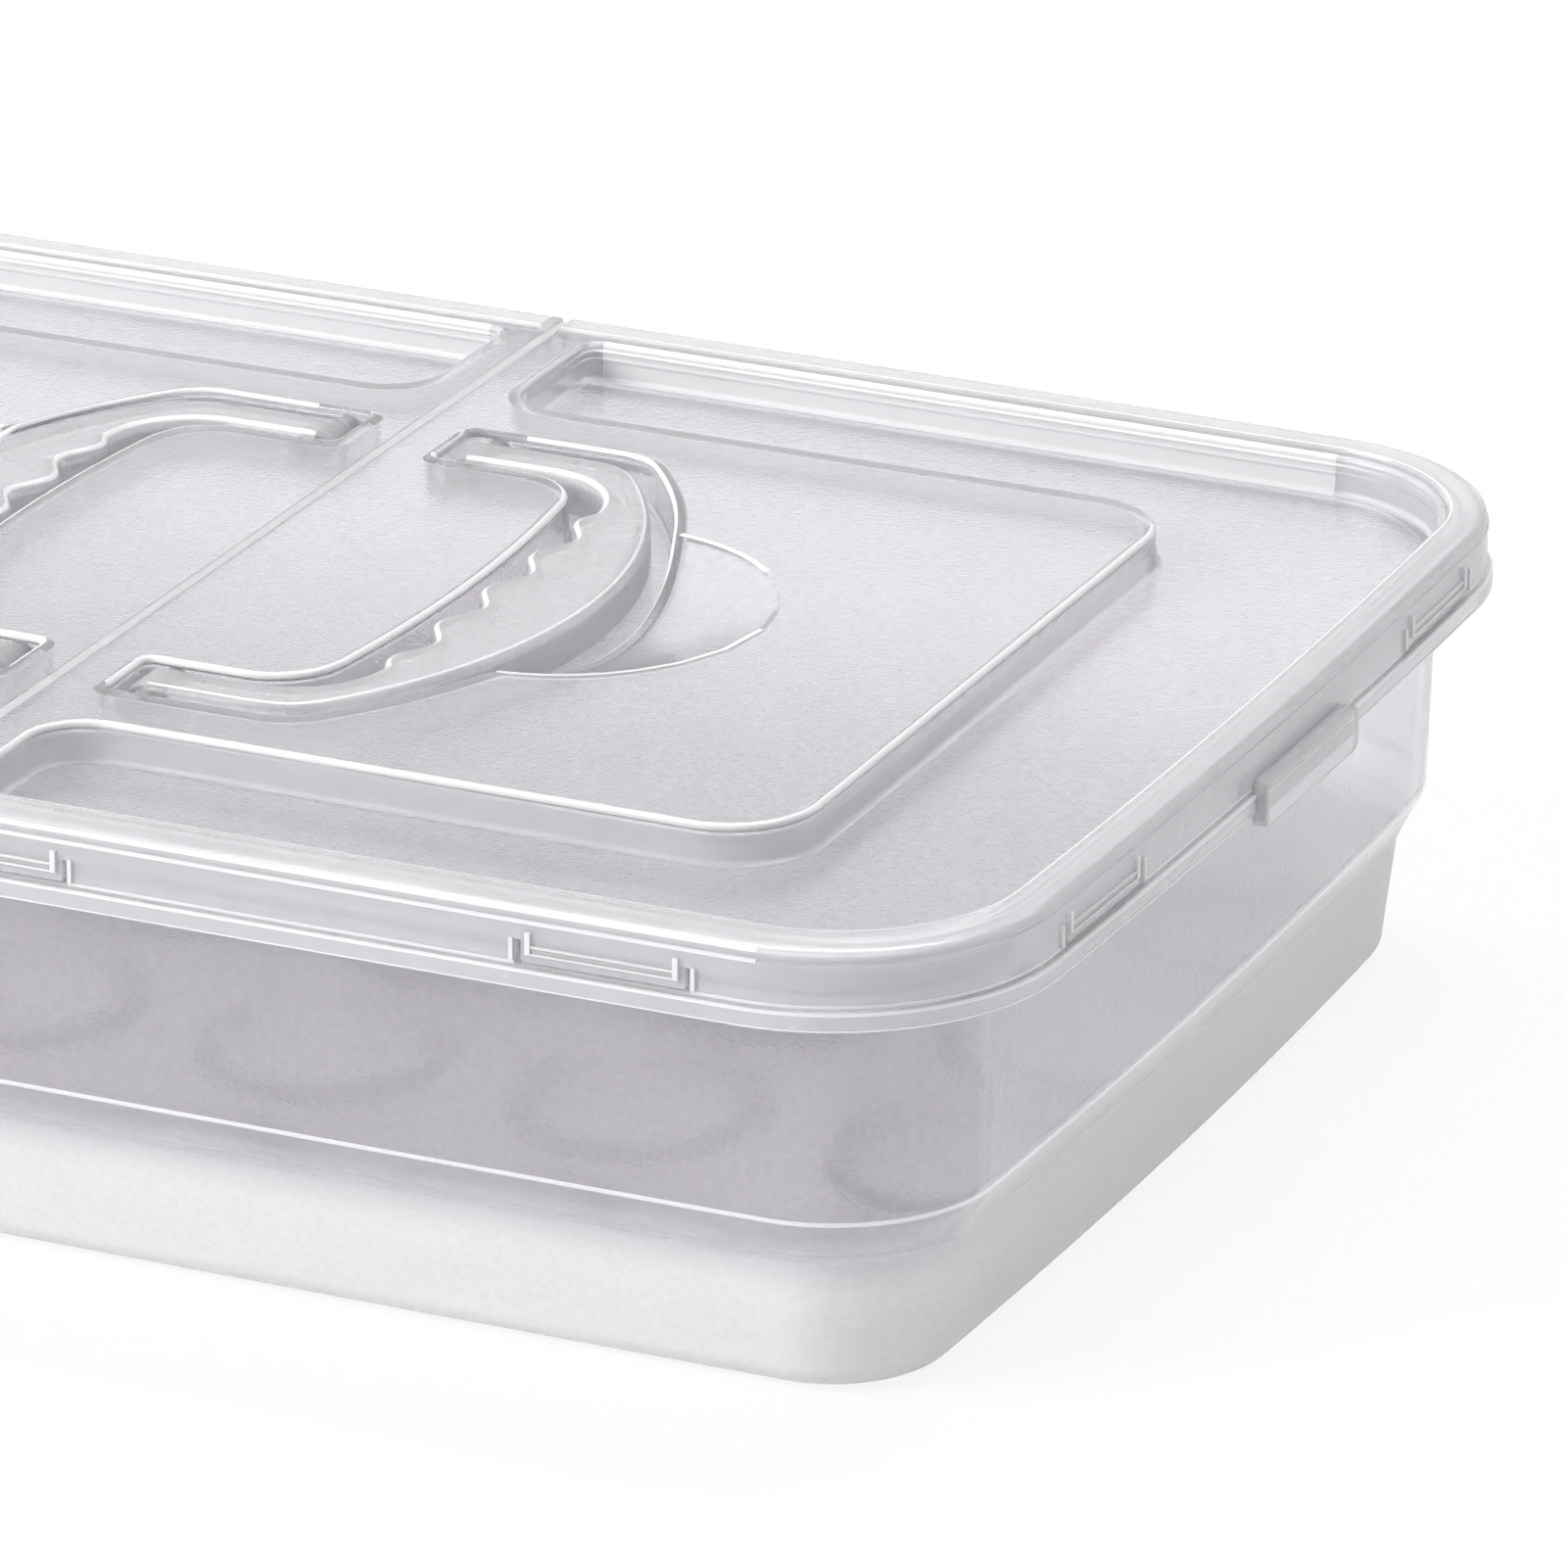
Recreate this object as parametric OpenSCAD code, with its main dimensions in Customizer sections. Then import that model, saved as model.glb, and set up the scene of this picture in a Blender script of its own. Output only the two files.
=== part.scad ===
// Egg keeper with a two-flap flip lid, a seat tray for 24 eggs and two fold-flat handles.
// Millimetres. Origin under the middle of the base, +Z up, the lid hinge runs along Y at x = 0.

/* [Overall size] */
// Length over the skirt of the lid
length = 340; // [320:1:380]
// Width over the skirt of the lid
width = 230; // [222:1:260]
// Height of the closed keeper
height = 74; // [66:1:95]
// Corner radius of the lid, seen from above
corner_r = 33; // [28:1:45]
// Outward bow of the short ends
end_bow = 2.5; // [0:0.5:5]
// Outward bow of the long sides
side_bow = 1; // [0:0.5:3]

/* [Tub] */
// Wall thickness of the tub
tub_wall = 2; // [1.6:0.1:2.6]
// Thickness of the tub floor
floor_t = 2.2; // [1.8:0.1:3.5]
// Inset of the upper wall from the skirt, at the top
wall_inset = 8.2; // [7.5:0.1:9]
// Draft of the upper wall from top to ledge
wall_draft = 1.2; // [0.5:0.1:2]
// Height of the ledge where the wall steps in
ledge_z = 28; // [22:1:36]
// Height of the sloping step below the ledge
ledge_h = 6.5; // [4:0.5:9]
// How far the wall steps in at the ledge
ledge_in = 3.8; // [2:0.1:5]
// Draft of the lower wall from ledge to foot
foot_draft = 2.2; // [1:0.1:3]
// Radius of the rounded bottom edge
foot_r = 4; // [3:0.5:6]

/* [Lid] */
// Thickness of the moulded lid
sheet = 1.8; // [1.4:0.1:2.2]
// Depth of the skirt
skirt_h = 12.5; // [11.5:0.5:16]
// Height of the thicker lip along the skirt's lower edge
lip_h = 3.8; // [3:0.2:5]
// How far the lip stands out from the skirt
lip_out = 0.8; // [0.4:0.1:1.2]
// Width of the rim's top on the short ends
rim_end_w = 6.5; // [6:0.1:9]
// Width of the rim's top on the long sides
rim_side_w = 8.2; // [7:0.1:10]
// Depth of the stacking channel below the rim
channel_h = 7; // [6:0.2:9]
// Drop of the raised panel below the rim
panel_drop = 1; // [0.8:0.1:1.4]
// Reach of the raised panel from the hinge line
panel_x = 123; // [105:0.5:125]
// Half width of the raised panel
panel_y = 74; // [72:0.5:78]
// Corner radius of the raised panel
panel_r = 14; // [8:1:20]
// Half width of the neck that joins the panel to the rim
neck_x = 7.5; // [6:0.5:8]
// Radius between the neck and the panel
neck_r = 9; // [4:0.5:14]
// Gap between the lid and the tub where they fit together
lid_gap = 0.5; // [0.4:0.1:0.7]

/* [Snap clips and tab] */
// Length of a clip window in the skirt
clip_w = 26; // [20:1:28]
// Height of a clip window
clip_h = 5; // [4:0.5:5.5]
// Places of the clips along a long side, from the hinge line
clip_xs = [17, 114];
// Place of the end clips from the middle of the short end
clip_y = 64; // [56:1:66]
// Width of the pull tab
tab_w = 36; // [28:1:44]
// How far the middle of the pull tab is towards the back
tab_y = 7; // [0:1:12]
// Corner radius of the pull tab
tab_r = 1.8; // [1:0.2:2.4]
// How far the pull tab hangs below the skirt
tab_drop = 2.5; // [2:0.5:4]
// How far the pull tab stands out
tab_out = 1.5; // [1:0.5:3]

/* [Hinge] */
// Drop of the hinge line below the rim
hinge_drop = 1.5; // [1.3:0.1:1.7]
// Radius of the hinge bead
bead_r = 1; // [0.9:0.05:1.1]
// Running gap round the hinge bead
bead_gap = 0.08; // [0.04:0.02:0.1]

/* [Handles] */
// Reach of the grip from the hinge line
handle_x = 59; // [57:0.5:61]
// Radius of the grip's curved outer edge
handle_r = 86; // [78:1:96]
// Half width of the handle over its arms
handle_y = 57.5; // [55:0.5:58]
// Thickness of the handle
handle_t = 6.6; // [6:0.1:7.2]
// Width of an arm
arm_w = 8; // [7:0.5:10]
// Corner radius of the handle
handle_cr = 8; // [5:0.5:12]
// Radius inside the handle's corners
inner_r = 14; // [10:0.5:15]
// Wall of the handle, which is open below
handle_wall = 2; // [1.6:0.1:2.6]
// Corner radius of the island inside the handle
island_r = 12; // [8:0.5:14]
// Radius of the island's bowed edge, towards the grip
island_bow_r = 280; // [220:10:400]
// Reach of the grip's inner edge from the hinge line
grip_x = 41.8; // [41:0.2:42.4]
// Depth of a finger wave, from crest to trough
wave_h = 3.4; // [2:0.2:4]
// Length of a finger wave
wave_l = 16; // [15:0.5:18]
// Distance of the handle pivot from the hinge line
pivot_x = 13; // [12.8:0.1:13.5]
// Diameter of the pivot pins
pin_d = 4.4; // [3.6:0.1:4.6]
// Running gap round a pivot pin
pin_gap = 0.07; // [0.03:0.01:0.1]
// Gap round the handle in its recess
recess_gap = 3.5; // [3:0.1:4]
// Gap between an arm and the island inside it
island_gap = 2; // [1.6:0.1:2.4]
// Room for a fingertip, from a trough of the wavy edge to the island
finger_gap = 5.1; // [4.8:0.1:5.6]
// Radius of the finger scoop outside the grip
scoop_r = 32; // [26:1:36]
// Distance of the scoop's middle from the hinge line
scoop_x = 54; // [50:1:56]

/* [Egg tray] */
// Seats along the length
seats_x = 6; // [4:1:6]
// Seats across the width
seats_y = 4; // [3:1:4]
// Gap from the outer seats to the edge of the tray
seat_margin = 1.3; // [1:0.1:4]
// Outer diameter of a seat ring
seat_d = 39; // [34:0.5:40]
// Inner diameter of a seat ring
seat_in = 31; // [26:0.5:32]
// Height of a seat ring above the tray
seat_h = 3.4; // [2:0.2:3.6]
// Thickness of the tray
tray_t = 1.6; // [1.2:0.1:2.4]
// Gap between the tray's edge and the tub
tray_gap = 0.8; // [0.5:0.1:1.2]

/* [Hidden] */
$fn = 64;

// How many straight steps make each stretch of the outline
corner_steps = 9;
end_steps = 6;
side_steps = 8;

// Radius between the wall and the floor inside the tub
floor_cove = 2;

// Heights
seat_gap = 0.3;
skirt_z = height - skirt_h;
channel_z = height - channel_h;
panel_z = height - panel_drop;
hinge_z = height - hinge_drop;
flange_z = channel_z - sheet - seat_gap;
upstand_z = hinge_z - bead_r - lid_gap;
handle_top = panel_z - 0.2;
pivot_z = handle_top - handle_t / 2;
recess_z = handle_top - handle_t - seat_gap;
tray_z = floor_t + seat_gap;

// Colours
clear = [0.80, 0.86, 0.86, 0.45];
frost = [0.78, 0.85, 0.84, 0.75];

// The outline of the keeper, drawn in by dx on the short ends and dy on the long sides.
function steps(n) = [for (i = [1:n - 1]) i / n];
function raw_outline(hx, hy, r) =
    let (cx = hx - r, cy = hy - r)
    concat(
        [for (i = [0:corner_steps]) let (a = -90 + 90 * i / corner_steps)
            [cx + r * cos(a), -cy + r * sin(a)]],
        [for (t = steps(end_steps)) [hx, -cy + 2 * cy * t]],
        [for (i = [0:corner_steps]) let (a = 90 * i / corner_steps)
            [cx + r * cos(a), cy + r * sin(a)]],
        [for (t = steps(side_steps)) [cx - 2 * cx * t, hy]],
        [for (i = [0:corner_steps]) let (a = 90 + 90 * i / corner_steps)
            [-cx + r * cos(a), cy + r * sin(a)]],
        [for (t = steps(end_steps)) [-hx, cy - 2 * cy * t]],
        [for (i = [0:corner_steps]) let (a = 180 + 90 * i / corner_steps)
            [-cx + r * cos(a), -cy + r * sin(a)]],
        [for (t = steps(side_steps)) [-cx + 2 * cx * t, -hy]]
    );
function outline(dx, dy) =
    let (hx = length / 2 - dx, hy = width / 2 - dy, r = max(corner_r - (dx + dy) / 2, 4))
    [for (p = raw_outline(hx, hy, r))
        [p[0] - sign(p[0]) * end_bow * pow(p[1] / hy, 2),
         p[1] - sign(p[1]) * side_bow * pow(p[0] / hx, 2)]];

// Triangles between ring i and ring j of n points each.
function band(i, j, n) = [for (k = [0:n - 1]) let (l = (k + 1) % n)
    each [[i * n + k, j * n + k, j * n + l], [i * n + k, j * n + l, i * n + l]]];

// A skin over rings of points. A closed skin joins the last ring to the first, an open one is capped
// with the faces given in cap, or with one face.
module skin(rings, closed = false, cap = undef) {
    n = len(rings[0]);
    m = len(rings);
    sides = [for (i = [0:m - 2]) each band(i, i + 1, n)];
    start = is_undef(cap) ? [[for (k = [0:n - 1]) k]] : cap;
    end = [for (f = start) [for (k = [len(f) - 1:-1:0]) (m - 1) * n + f[k]]];
    ends = closed ? band(m - 1, 0, n) : concat(start, end);
    polyhedron([for (r = rings) each r], concat(sides, ends), convexity = 8);
}

// The keeper's outline lofted through a section, given as [inset on ends, inset on sides, height].
module loft(section, closed = false) {
    skin([for (s = section) [for (p = outline(s[0], s[1])) [p[0], p[1], s[2]]]], closed);
}

// The tub: floor, foot, drafted wall with its ledge, flange and the upstand that the lid covers.
module tub() {
    ledge_inset = wall_inset + wall_draft;
    foot_top = ledge_inset + ledge_in;
    foot_low = foot_top + foot_draft;
    flange_in = sheet + lid_gap + lip_out;
    upstand_in = rim_end_w - sheet - lid_gap;
    step_z = ledge_z - ledge_h;
    outer = [
        [foot_low + foot_r, 0],
        [foot_low + foot_r * 0.5, foot_r * 0.14],
        [foot_low + foot_r * 0.14, foot_r * 0.5],
        [foot_low, foot_r],
        [foot_top + 0.2, step_z - 1.4],
        [foot_top - 0.3, step_z],
        [ledge_inset + 0.3, ledge_z],
        [ledge_inset - 0.1, ledge_z + 1.4],
        [wall_inset, flange_z - tub_wall - 1],
        [wall_inset - 0.8, flange_z - tub_wall],
        [flange_in, flange_z - tub_wall]
    ];
    upstand = [
        [flange_in, upstand_z],
        [upstand_in, upstand_z],
        [upstand_in, flange_z]
    ];
    inner = [
        [wall_inset + tub_wall, flange_z],
        [ledge_inset + tub_wall, ledge_z + 1],
        [ledge_inset + tub_wall + 0.4, ledge_z - 0.5],
        [foot_top + tub_wall - 0.2, step_z - 0.7],
        [foot_top + tub_wall + 0.3, step_z - 2.2],
        [foot_low + tub_wall, floor_t + floor_cove],
        [foot_low + tub_wall + floor_cove * 0.3, floor_t + floor_cove * 0.3],
        [foot_low + tub_wall + floor_cove, floor_t]
    ];
    color(frost) loft([for (s = concat(outer, upstand, inner)) [s[0], s[0], s[1]]]);
}

// The tray's edge stays clear of the tub, and the seats are spread evenly over it.
tray_edge = wall_inset + wall_draft + ledge_in + foot_draft + tub_wall + tray_gap + floor_cove / 2;
pitch_x = (length - 2 * tray_edge - seat_d - 2 * seat_margin) / (seats_x - 1);
pitch_y = (width - 2 * tray_edge - seat_d - 2 * seat_margin) / (seats_y - 1);

// The tray: a thin plate on the tub floor with a ring-shaped seat for each egg.
module egg_tray() {
    color(frost)
    difference() {
        union() {
            translate([0, 0, tray_z]) linear_extrude(tray_t) polygon(outline(tray_edge, tray_edge));
            at_seats() cylinder(d = seat_d, h = tray_t + seat_h);
        }
        at_seats() translate([0, 0, tray_t]) seat_bowl();
    }
}

module at_seats() {
    for (i = [0:seats_x - 1], j = [0:seats_y - 1])
        translate([(i - (seats_x - 1) / 2) * pitch_x, (j - (seats_y - 1) / 2) * pitch_y, tray_z])
            children();
}

// The hollow of a seat, a flared round bowl.
module seat_bowl() {
    rotate_extrude() polygon([
        [0, 0],
        [seat_in / 2 - 3, 0],
        [seat_in / 2, seat_h * 0.45],
        [seat_d / 2 - 1.2, seat_h + 0.01],
        [0, seat_h + 0.01]
    ]);
}

// The bead that both flaps turn on, flush with the hinge line.
module hinge_strip() {
    reach = width - 2 * (lip_out + sheet);
    color(clear)
    difference() {
        translate([0, reach / 2, hinge_z]) rotate([90, 0, 0]) cylinder(r = bead_r, h = reach);
        translate([-bead_r, -reach / 2 - 1, hinge_z + 0.4]) cube([2 * bead_r, reach + 2, bead_r]);
    }
}

// Outline with one straight end at x0 and a curved one of radius r about cx, with rounded corners.
function dee(x0, cx, r, hy, cr) =
    let (fx = cx + sqrt(pow(r - cr, 2) - pow(hy - cr, 2)), fy = hy - cr, a = asin((hy - cr) / (r - cr)))
    concat(
        [[x0, -hy]],
        [for (i = [0:5]) let (t = -90 + (90 - a) * i / 5) [fx + cr * cos(t), -fy + cr * sin(t)]],
        [for (i = [1:11]) let (t = -a + 2 * a * i / 12) [cx + r * cos(t), r * sin(t)]],
        [for (i = [0:5]) let (t = a + (90 - a) * i / 5) [fx + cr * cos(t), fy + cr * sin(t)]],
        [[x0, hy]]
    );

handle_cx = handle_x - handle_r;
recess_in = pivot_x - handle_t / 2 - 1.2;
island_x = grip_x + wave_h / 2 - finger_gap;
island_y = handle_y - arm_w - island_gap;

module recess_shape(grow = 0) {
    polygon(dee(recess_in - grow, handle_cx, handle_r + recess_gap + grow,
        handle_y + recess_gap + grow, handle_cr + 2 + grow));
}

module island_shape(shrink = 0) {
    polygon(dee(0, island_x - island_bow_r, island_bow_r - shrink, island_y - shrink, island_r - shrink));
}

// The raised panel of the right half with its neck to the rim, drawn in by the wall thickness.
module panel_shape(shrink = 0) {
    x = panel_x - shrink;
    y = panel_y - shrink;
    r = panel_r - shrink;
    translate([0, -y]) square([x - r, 2 * y]);
    translate([0, -(y - r)]) square([x, 2 * (y - r)]);
    for (s = [-1, 1]) translate([x - r, s * (y - r)]) circle(r);
    neck_y = width / 2 - rim_side_w + sheet / 2;
    neck = neck_x - shrink;
    fillet = neck_r + shrink;
    translate([0, -neck_y]) square([neck, 2 * neck_y]);
    for (s = [0, 1]) mirror([0, s]) difference() {
        translate([neck - 1, y - 1]) square([fillet + 1, fillet + 1]);
        translate([neck + fillet, y + fillet]) circle(fillet);
    }
}

// Section of the rim: skirt with its lip, rounded top and the outer wall of the channel.
module rim() {
    e = rim_end_w;
    s = rim_side_w;
    skirt = lip_out;
    in = skirt + sheet;
    loft([
        [0.3, 0.3, skirt_z],
        [0, 0, skirt_z + 0.5],
        [0, 0, skirt_z + lip_h - 0.5],
        [skirt, skirt, skirt_z + lip_h],
        [skirt + 0.2, skirt + 0.2, height - 2],
        [skirt + 0.8, skirt + 0.8, height - 0.6],
        [skirt + 2, skirt + 2, height],
        [e - 0.5, s - 0.5, height],
        [e, s, height - 0.5],
        [e + 0.2, s + 0.2, channel_z - sheet],
        [e - sheet, s - sheet, channel_z - sheet],
        [e - sheet, s - sheet, height - sheet],
        [in + 0.3, in + 0.3, height - sheet],
        [in, in, height - sheet - 0.6],
        [in - 0.1, in - 0.1, skirt_z]
    ], closed = true);
}

// Everything of the right half of the lid before the hinge line and the clips are cut.
module flap_sheet() {
    under = recess_z - sheet;
    rim();
    translate([0, 0, channel_z - sheet]) linear_extrude(sheet) difference() {
        polygon(outline(rim_end_w - sheet / 2, rim_side_w - sheet / 2));
        panel_shape(sheet);
    }
    translate([0, 0, channel_z - sheet]) linear_extrude(panel_z - channel_z + sheet) difference() {
        panel_shape();
        panel_shape(sheet);
    }
    translate([0, 0, panel_z - sheet]) linear_extrude(sheet) difference() {
        panel_shape();
        recess_shape();
    }
    translate([0, 0, under]) linear_extrude(panel_z - under) difference() {
        recess_shape(sheet);
        recess_shape();
    }
    translate([0, 0, under]) linear_extrude(sheet) difference() {
        recess_shape(sheet / 2);
        island_shape(sheet);
    }
    translate([0, 0, panel_z - sheet]) linear_extrude(sheet) island_shape();
    translate([recess_in - sheet, 0, under]) linear_extrude(panel_z - under) intersection() {
        translate([-recess_in + sheet, 0]) difference() {
            island_shape();
            island_shape(sheet);
        }
        translate([0, -panel_y]) square([panel_x, 2 * panel_y]);
    }
    scoop_shell(under);
}

// The dished scoop for the fingers, outside the recess.
scoop_depth = panel_z - recess_z;
scoop_ball = (pow(scoop_r, 2) + pow(scoop_depth, 2)) / (2 * scoop_depth);

module scoop_at() {
    translate([scoop_x, 0, panel_z - scoop_depth + scoop_ball]) children();
}

module scoop_shell(under) {
    difference() {
        intersection() {
            scoop_at() sphere(r = scoop_ball + sheet, $fn = 96);
            translate([scoop_x, 0, under]) cylinder(r = scoop_r + 3, h = panel_z - under - sheet / 2);
        }
        translate([0, 0, under - 1]) linear_extrude(height) recess_shape(sheet / 2);
    }
}

module scoop_cut() {
    difference() {
        scoop_at() sphere(r = scoop_ball, $fn = 96);
        translate([0, 0, recess_z - 4]) linear_extrude(scoop_ball * 2 + 8) recess_shape();
    }
}

// Room for the hinge: the half plane, the bead and the slope that lets the flap stand upright.
module hinge_cut() {
    reach = width + 2;
    slope = height - hinge_z + 1;
    edge = 0.3;
    translate([-length, -width, 0]) cube([length + edge, 2 * width, height * 2]);
    translate([0, reach / 2, hinge_z]) rotate([90, 0, 0]) {
        cylinder(r = bead_r + bead_gap, h = reach);
        linear_extrude(reach) polygon([[0, 0], [edge, 0], [slope + edge, slope], [0, slope]]);
    }
}

// Bores for the pins of the handle, through the recess wall and the island's wall.
module pin_bores() {
    reach = 2 * (handle_y + recess_gap + sheet) + 2;
    translate([pivot_x, reach / 2, pivot_z]) rotate([90, 0, 0]) cylinder(d = pin_d + 2 * pin_gap, h = reach);
}

// A snap clip in the skirt: a slot above the lip and two slits that free the tongue.
module clip_cut(depth) {
    slit = 1;
    translate([-clip_w / 2, -depth / 2, skirt_z + lip_h - 0.8]) cube([clip_w, depth, slit]);
    for (s = [-1, 1])
        translate([s * clip_w / 2 - slit / 2, -depth / 2, skirt_z + lip_h - 0.8]) cube([slit, depth, clip_h]);
}

module clip_cuts() {
    depth = 4 * sheet;
    for (x = clip_xs, s = [-1, 1])
        translate([x, s * (width / 2 - side_bow * pow(x / (length / 2), 2)), 0]) clip_cut(depth);
    for (s = [-1, 1])
        translate([length / 2 - end_bow * pow(clip_y / (width / 2), 2), s * clip_y, 0])
            rotate([0, 0, 90]) clip_cut(depth);
}

// The pull tab under the skirt at the short end.
module pull_tab() {
    h = tab_drop + lip_h + 1;
    translate([length / 2 - sheet, tab_y, skirt_z - tab_drop + h / 2]) rotate([90, 0, 90])
        linear_extrude(sheet + tab_out) {
            square([tab_w - 2 * tab_r, h], center = true);
            square([tab_w, h - 2 * tab_r], center = true);
            for (s = [-1, 1]) for (t = [-1, 1])
                translate([s * (tab_w / 2 - tab_r), t * (h / 2 - tab_r)]) circle(tab_r);
        }
}

module flap() {
    difference() {
        flap_sheet();
        hinge_cut();
        scoop_cut();
        pin_bores();
        clip_cuts();
    }
    pull_tab();
}

module right_flap() {
    color(clear) flap();
}

module left_flap() {
    color(clear) mirror([1, 0, 0]) flap();
}

// The wavy inner edge of the grip, and how far its corners reach.
function wave_x(y) = grip_x - wave_h / 2 * cos(360 * y / wave_l);
arm_in = handle_y - arm_w;
wave_reach = arm_in - inner_r;
corner_cx = wave_x(wave_reach) - inner_r;

// Distance from the corner's centre to the outer edge, along angle t, with its corner eased.
function to_outer(t) =
    let (
        far = corner_cx - handle_cx,
        run = far * cos(t) + wave_reach * sin(t),
        arc = -run + sqrt(pow(run, 2) - far * far - wave_reach * wave_reach + handle_r * handle_r),
        flat = (handle_y - wave_reach) / max(sin(t), 0.001)
    )
    pow(pow(arc, -corner_ease) + pow(flat, -corner_ease), -1 / corner_ease);
corner_ease = 12;

// Stations of one half of the handle, each an inner and an outer point: arm, corner, then grip.
arm_steps = 3;
turn_steps = 7;
grip_steps = 16;
half_handle = concat(
    [for (i = [0:arm_steps - 1]) let (x = pivot_x + (corner_cx - pivot_x) * i / arm_steps)
        [[x, arm_in], [x, handle_y]]],
    [for (i = [0:turn_steps]) let (t = 90 - 90 * i / turn_steps, d = [cos(t), sin(t)])
        [[corner_cx, wave_reach] + inner_r * d, [corner_cx, wave_reach] + to_outer(t) * d]],
    [for (i = [1:grip_steps]) let (y = wave_reach * (1 - i / grip_steps))
        [[wave_x(y), y], [handle_cx + sqrt(pow(handle_r, 2) - y * y), y]]]
);
flipped = [for (i = [len(half_handle) - 2:-1:0]) [for (p = half_handle[i]) [p[0], -p[1]]]];

// The section of the handle at one station, open below and rounded more along its top edges.
function handle_section(from, to, low) =
    let (w = norm(to - from), d = (to - from) / w, t = handle_t, h = handle_wall)
    [for (s = [[w - 0.6, 0], [w, 0.6], [w, t - 2.2], [w - 0.6, t - 0.7], [w - 2, t],
               [2, t], [0.6, t - 0.7], [0, t - 2.2], [0, 0.6], [0.6, 0],
               [h, 0], [h + 0.2, t - h - 0.8], [h + 1, t - h],
               [w - h - 1, t - h], [w - h - 0.2, t - h - 0.8], [w - h, 0]])
        let (p = from + d * s[0]) [p[0], p[1], low + s[1]]];

// Faces that close the open section at the two ends of the handle.
section_cap = [[0, 1, 15], [1, 14, 15], [1, 2, 14], [2, 3, 14], [3, 13, 14], [3, 4, 13], [4, 12, 13],
    [4, 5, 12], [5, 6, 12], [6, 11, 12], [6, 7, 11], [7, 8, 11], [8, 10, 11], [8, 9, 10]];

module handle() {
    sections = [for (h = concat(half_handle, flipped)) handle_section(h[0], h[1], pivot_z - handle_t / 2)];
    skin(sections, cap = section_cap);
    for (s = [-1, 1]) {
        translate([pivot_x, s * (arm_in + arm_w / 2), pivot_z]) rotate([90, 0, 0])
            cylinder(d = handle_t, h = arm_w - 1.6, center = true);
        pin(s);
    }
}

// A pin runs from the island's wall through the arm to the recess wall.
module pin(s) {
    from = arm_in - island_gap - sheet + 0.3;
    to = handle_y + recess_gap + sheet - 0.3;
    translate([pivot_x, s * (from + to) / 2, pivot_z]) rotate([90, 0, 0])
        cylinder(d = pin_d, h = to - from, center = true);
}

module right_handle() {
    color(clear) handle();
}

module left_handle() {
    color(clear) mirror([1, 0, 0]) handle();
}

tub();
egg_tray();
hinge_strip();
right_flap();
left_flap();
right_handle();
left_handle();
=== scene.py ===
"""Looks for the egg keeper with a two-flap flip lid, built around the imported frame.

Shapes are written in millimetres and built in metres.
"""

import math

import bpy
import bmesh
import numpy as np
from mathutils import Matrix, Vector
from mathutils.geometry import delaunay_2d_cdt

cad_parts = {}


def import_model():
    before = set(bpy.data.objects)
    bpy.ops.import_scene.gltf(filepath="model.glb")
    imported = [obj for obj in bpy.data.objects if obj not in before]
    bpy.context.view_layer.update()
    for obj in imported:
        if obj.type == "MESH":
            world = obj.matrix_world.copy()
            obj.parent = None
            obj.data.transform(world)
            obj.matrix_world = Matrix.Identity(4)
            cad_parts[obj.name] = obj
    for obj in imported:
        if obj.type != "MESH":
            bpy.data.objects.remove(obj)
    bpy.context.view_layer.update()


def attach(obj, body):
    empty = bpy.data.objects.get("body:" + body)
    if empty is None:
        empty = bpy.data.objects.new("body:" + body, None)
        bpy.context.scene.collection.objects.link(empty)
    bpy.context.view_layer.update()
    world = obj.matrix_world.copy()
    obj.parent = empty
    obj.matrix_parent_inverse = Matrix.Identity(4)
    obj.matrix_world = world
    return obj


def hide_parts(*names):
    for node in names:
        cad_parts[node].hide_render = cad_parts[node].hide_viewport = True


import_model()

# Sizes shared with the CAD source, in millimetres.
LENGTH, WIDTH, HEIGHT = 340.0, 230.0, 74.0
CORNER_R, END_BOW, SIDE_BOW = 33.0, 2.5, 1.0
SHEET = 1.8
RIM_END, RIM_SIDE = 6.5, 8.2
SKIRT_Z, CHANNEL_Z, PANEL_Z = 61.5, 67.0, 73.0
HINGE_Z, BEAD_R, BEAD_GAP = 72.5, 1.0, 0.08
PANEL_X, PANEL_Y, PANEL_R = 123.0, 74.0, 14.0
NECK_X, NECK_R = 7.5, 9.0
HANDLE_X, HANDLE_R, HANDLE_Y, HANDLE_T = 59.0, 86.0, 57.5, 6.6
ARM_W, INNER_R, GRIP_X, WAVE_H, WAVE_L = 8.0, 14.0, 41.8, 3.4, 16.0
PIVOT_X, PIVOT_Z, PIN_D = 13.0, 69.5, 4.4
RECESS_GAP, RECESS_Z, RECESS_IN, RECESS_R = 3.5, 65.9, 8.5, 10.0
ISLAND_X, ISLAND_Y, ISLAND_R, ISLAND_BOW_R = 38.4, 47.5, 12.0, 280.0
SCOOP_R, SCOOP_X = 32.0, 54.0
HANDLE_CX = HANDLE_X - HANDLE_R
CLIP_XS, CLIP_Y, CLIP_W = (17.0, 114.0), 64.0, 26.0
TAB_W, TAB_Y, TAB_R, TAB_DROP, TAB_OUT, LIP_H = 36.0, 7.0, 1.8, 2.5, 1.5, 3.0

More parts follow.
